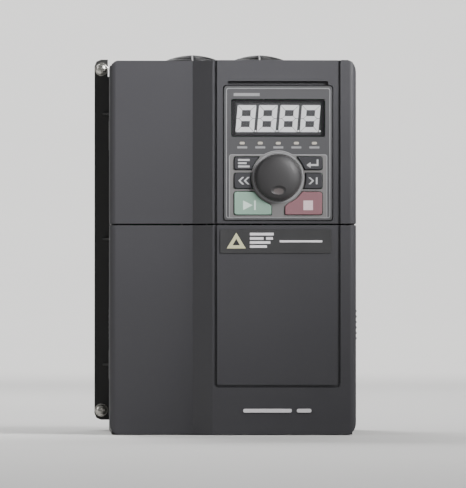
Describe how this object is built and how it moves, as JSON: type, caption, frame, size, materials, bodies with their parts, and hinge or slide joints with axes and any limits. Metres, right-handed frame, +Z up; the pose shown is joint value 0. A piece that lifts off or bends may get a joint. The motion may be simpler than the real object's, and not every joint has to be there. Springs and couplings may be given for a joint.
{
  "type": "variable frequency drive",
  "caption": "Wall-mounted motor drive with a finned heatsink duct, clip-held terminal cover, pull-out keypad with a rotary knob and a lift-out fan unit.",
  "frame": {"origin": "centre of the overall box in X and Y, on the plane of the underside in Z", "axes": "+Z up, +Y towards the mounting wall, +X to the right of someone who faces the keypad"},
  "size_m": [0.16, 0.1834, 0.2295],
  "materials": {
    "cover_plastic": "fine matt moulded texture, charcoal grey with a faint violet tint",
    "housing_plastic": "fine matt moulded texture, near black",
    "heatsink_aluminium": "extruded, satin",
    "plated_steel": "zinc plated",
    "circuit_board": "green solder mask, satin",
    "capacitor_sleeve": "black shrink sleeve",
    "module_resin": "moulded resin",
    "copper_winding": "enamelled copper wire",
    "terminal_black": "moulded, matt",
    "terminal_green": "moulded, matt",
    "frame_plastic": "moulded, matt",
    "grommet_rubber": "soft black rubber",
    "keypad_overlay": "satin moulded plate with fine pale outlines",
    "display_window": "smoked clear plastic",
    "display_face": "black face with pale segments",
    "key_grey": "satin moulded",
    "key_green": "satin moulded, pale green",
    "key_red": "satin moulded, dusty red",
    "knob_plastic": "satin moulded",
    "label_film": "printed polyester film, no lettering",
    "rating_film": "silver polyester film, blank",
    "ribbon_grey": "grey flat cable",
    "lamp_red": "red lamp lens",
    "fan_black": "moulded, satin"
  },
  "bodies": {
    "drive": {"rear_housing": "housing_plastic", "main_housing": "housing_plastic", "upper_cover": "cover_plastic", "heatsink": "heatsink_aluminium", "igbt_module": "module_resin", "rectifier_module": "module_resin", "power_board": "circuit_board", "switching_transformer": "module_resin", "precharge_relay": "terminal_black", "common_mode_choke": "copper_winding", "main_terminal_block": "terminal_black", "ground_terminal": "plated_steel", "inner_frame": "frame_plastic", "control_board": "circuit_board", "control_terminal_block": "terminal_green", "control_processor": "module_resin", "charge_lamp": "lamp_red", "keypad_socket": "terminal_black", "ribbon_cable": "ribbon_grey", "cable_entry_plate": "housing_plastic", "rating_plate": "rating_film", "dc_capacitor_1": "capacitor_sleeve", "dc_capacitor_2": "capacitor_sleeve", "dc_capacitor_3": "capacitor_sleeve", "dc_capacitor_4": "capacitor_sleeve", "current_sensor_1": "terminal_black", "current_sensor_2": "terminal_black", "cable_grommet_1": "grommet_rubber", "cable_grommet_2": "grommet_rubber", "cable_grommet_3": "grommet_rubber", "upper_cover_screw_left": "plated_steel", "upper_cover_screw_right": "plated_steel"},
    "terminal_cover": {"lower_cover": "cover_plastic", "cover_label": "label_film", "cover_badge": "rating_film"},
    "keypad": {"keypad_bezel": "keypad_overlay", "keypad_case": "housing_plastic", "keypad_board": "circuit_board", "keypad_plug": "terminal_black", "display_window": "display_window", "display_module": "display_face", "rotary_encoder": "plated_steel"},
    "knob": {"knob": "knob_plastic", "encoder_shaft": "plated_steel"},
    "fan_unit": {"fan_cover": "housing_plastic", "fan_guard_left": "fan_black", "fan_guard_right": "fan_black", "fan_frame_left": "fan_black", "fan_frame_right": "fan_black", "fan_lead_left": "grommet_rubber", "fan_lead_right": "grommet_rubber"},
    "fan_left": {"fan_rotor_left": "fan_black"},
    "fan_right": {"fan_rotor_right": "fan_black"},
    "key_program": {"key_program": "key_grey"},
    "key_enter": {"key_enter": "key_grey"},
    "key_shift": {"key_shift": "key_grey"},
    "key_jog": {"key_jog": "key_grey"},
    "key_run": {"key_run": "key_green"},
    "key_stop": {"key_stop": "key_red"}
  },
  "joints": [
    {"name": "terminal_cover_slide", "type": "slide", "parent": "drive", "child": "terminal_cover", "axis": [0, -1, 0], "range_m": [0, 0.06]},
    {"name": "keypad_slide", "type": "slide", "parent": "drive", "child": "keypad", "axis": [0, -1, 0], "range_m": [0, 0.03]},
    {"name": "knob_turn", "type": "hinge", "parent": "keypad", "child": "knob", "pos_m": [0.0265, -0.0832, 0.151], "axis": [0, -1, 0], "continuous": true},
    {"name": "fan_unit_slide", "type": "slide", "parent": "drive", "child": "fan_unit", "axis": [0, 0, 1], "range_m": [0, 0.045]},
    {"name": "fan_left_spin", "type": "hinge", "parent": "fan_unit", "child": "fan_left", "pos_m": [-0.0205, 0.0665, 0.2], "axis": [0, 0, 1], "continuous": true},
    {"name": "fan_right_spin", "type": "hinge", "parent": "fan_unit", "child": "fan_right", "pos_m": [0.0205, 0.0665, 0.2], "axis": [0, 0, 1], "continuous": true},
    {"name": "key_program_press", "type": "slide", "parent": "keypad", "child": "key_program", "axis": [0, 1, 0], "range_m": [0, 0.001], "stiffness_N_per_m": 400, "springref_m": -0.001},
    {"name": "key_enter_press", "type": "slide", "parent": "keypad", "child": "key_enter", "axis": [0, 1, 0], "range_m": [0, 0.001], "stiffness_N_per_m": 400, "springref_m": -0.001},
    {"name": "key_shift_press", "type": "slide", "parent": "keypad", "child": "key_shift", "axis": [0, 1, 0], "range_m": [0, 0.001], "stiffness_N_per_m": 400, "springref_m": -0.001},
    {"name": "key_jog_press", "type": "slide", "parent": "keypad", "child": "key_jog", "axis": [0, 1, 0], "range_m": [0, 0.001], "stiffness_N_per_m": 400, "springref_m": -0.001},
    {"name": "key_run_press", "type": "slide", "parent": "keypad", "child": "key_run", "axis": [0, 1, 0], "range_m": [0, 0.001], "stiffness_N_per_m": 400, "springref_m": -0.001},
    {"name": "key_stop_press", "type": "slide", "parent": "keypad", "child": "key_stop", "axis": [0, 1, 0], "range_m": [0, 0.001], "stiffness_N_per_m": 400, "springref_m": -0.001}
  ]
}
